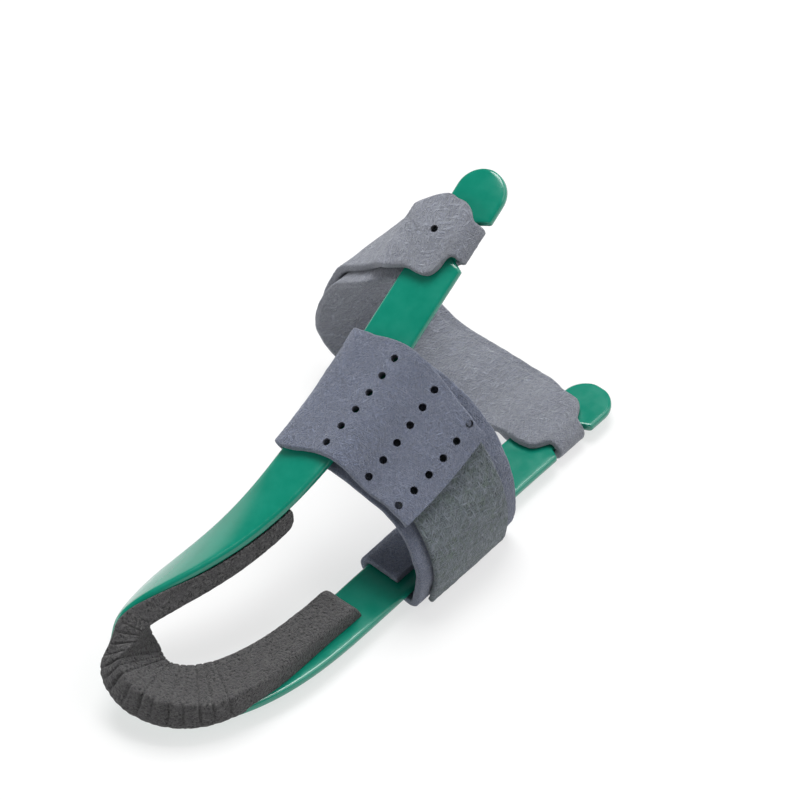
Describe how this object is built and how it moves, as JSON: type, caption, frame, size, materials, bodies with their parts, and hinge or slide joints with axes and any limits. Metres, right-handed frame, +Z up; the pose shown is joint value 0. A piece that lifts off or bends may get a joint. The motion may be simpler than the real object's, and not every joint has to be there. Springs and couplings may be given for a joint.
{
  "type": "bunion corrector",
  "caption": "Foot splint that draws the big toe straight: a moulded plastic hairpin round the toe, padded with foam and held by felt straps round the ball and the instep.",
  "frame": {"origin": "middle of the bottom of the whole part's box", "axes": "+Z up, -Y towards the toes, +X towards the inner side of a right foot"},
  "size_m": [0.093, 0.1596, 0.0771],
  "materials": {
    "splint_plastic": "glossy moulded nylon, teal green",
    "pad_foam": "charcoal foam with a fabric face",
    "front_felt": "brushed loop felt, light blue-grey",
    "hook_fabric": "heathered grey-green hook fabric",
    "rear_felt": "fuzzy loop felt, light grey"
  },
  "bodies": {
    "root": {"splint": "splint_plastic", "toe_pad": "pad_foam", "front_strap": "front_felt", "front_patch": "hook_fabric", "rear_strap": "rear_felt"}
  },
  "joints": []
}
